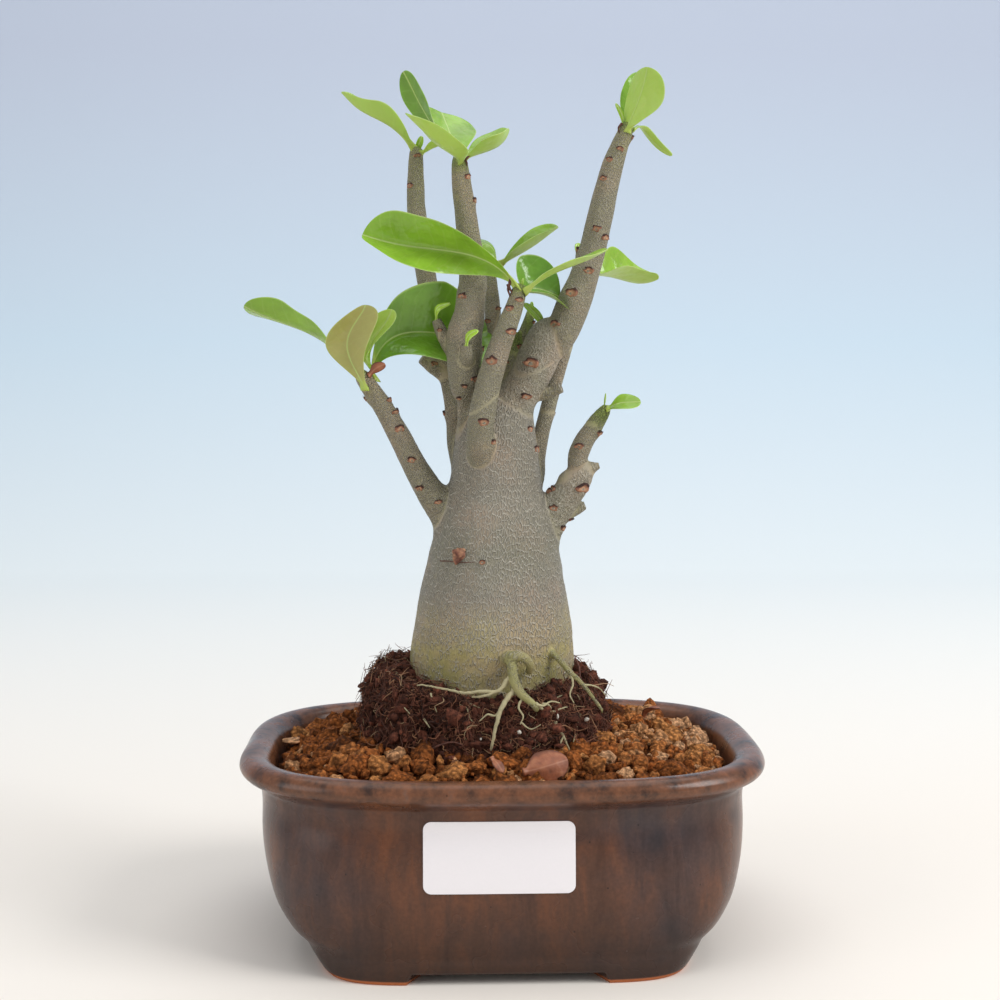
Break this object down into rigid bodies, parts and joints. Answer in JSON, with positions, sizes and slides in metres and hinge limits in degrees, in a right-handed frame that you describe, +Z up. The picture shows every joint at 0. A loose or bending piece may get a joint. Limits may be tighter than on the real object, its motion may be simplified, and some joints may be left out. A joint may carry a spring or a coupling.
{
  "type": "potted desert rose",
  "caption": "Small succulent tree with a swollen grey trunk, upright limbs and tufts of glossy leaves, in a low glazed oval-cornered bonsai pot filled with clay granules.",
  "frame": {"origin": "middle of the pot's footprint, on the surface that its feet stand on", "axes": "+Z up, +X to the pot's right, -Y to its front, the side with the label"},
  "size_m": [0.136, 0.104, 0.2253],
  "materials": {
    "glazed_stoneware": "satin brown glaze with blue-grey runs, fired on stoneware",
    "label_paper": "plain coated paper",
    "mesh_plastic": "black woven-look plastic mesh",
    "baked_clay": "crumbly baked clay granules, matte",
    "peat": "dark fibrous peat with rootlets",
    "bark": "smooth silvery bark, finely wrinkled",
    "leaf": "glossy fleshy leaf, paler underneath",
    "dry_leaf": "dry leaf and bark litter"
  },
  "bodies": {
    "root": {"pot": "glazed_stoneware", "label": "label_paper", "drain_mesh_left": "mesh_plastic", "drain_mesh_right": "mesh_plastic", "gravel_bed": "baked_clay", "root_ball": "peat", "caudex": "bark", "leaf_low_left_long": "leaf", "leaf_low_left_khaki": "leaf", "leaf_low_left_small": "leaf", "leaf_low_left_large": "leaf", "leaf_low_left_dead": "dry_leaf", "leaf_back_left_long": "leaf", "leaf_back_left_bud": "leaf", "leaf_back_left_short": "leaf", "leaf_front_left_upright": "leaf", "leaf_front_left_near": "leaf", "leaf_front_left_behind": "leaf", "leaf_front_left_right": "leaf", "leaf_middle_long": "leaf", "leaf_middle_curled": "leaf", "leaf_middle_narrow": "leaf", "leaf_middle_bud": "leaf", "leaf_thin_left": "leaf", "leaf_thin_right": "leaf", "leaf_back_right_long": "leaf", "leaf_back_right_small": "leaf", "leaf_right_bright": "leaf", "leaf_right_behind": "leaf", "leaf_right_bud": "leaf", "leaf_right_drooping": "leaf", "leaf_low_right": "leaf", "leaf_low_right_bud": "leaf", "sprout_left": "leaf", "sprout_front": "leaf", "sprout_fork": "leaf", "sprout_right": "leaf", "fallen_leaf": "dry_leaf", "dry_scrap": "dry_leaf", "bark_chip": "dry_leaf"}
  },
  "joints": []
}
